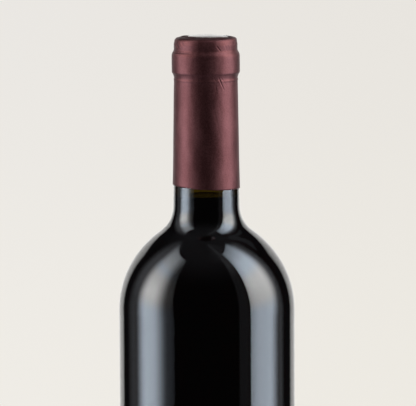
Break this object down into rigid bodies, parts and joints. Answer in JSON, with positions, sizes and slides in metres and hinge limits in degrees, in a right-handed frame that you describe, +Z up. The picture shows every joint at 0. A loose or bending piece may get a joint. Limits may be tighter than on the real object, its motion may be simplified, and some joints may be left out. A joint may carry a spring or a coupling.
{
  "type": "wine bottle",
  "caption": "Sealed straight-sided wine bottle of very dark olive glass, filled to the neck, with a burgundy shrunk capsule and a pale metal disc in its top.",
  "frame": {"origin": "centre of the bottle's base, on the surface it stands on", "axes": "+Z up along the bottle's axis, -Y towards the viewer, +X to the viewer's right"},
  "size_m": [0.0756, 0.0756, 0.3029],
  "materials": {
    "bottle_glass": "polished very dark olive glass",
    "wine": "dark red wine",
    "capsule_foil": "satin metallic burgundy shrunk foil",
    "disc_metal": "pale satin metal"
  },
  "bodies": {
    "root": {"bottle": "bottle_glass", "wine": "wine", "capsule": "capsule_foil", "top_disc": "disc_metal"}
  },
  "joints": []
}
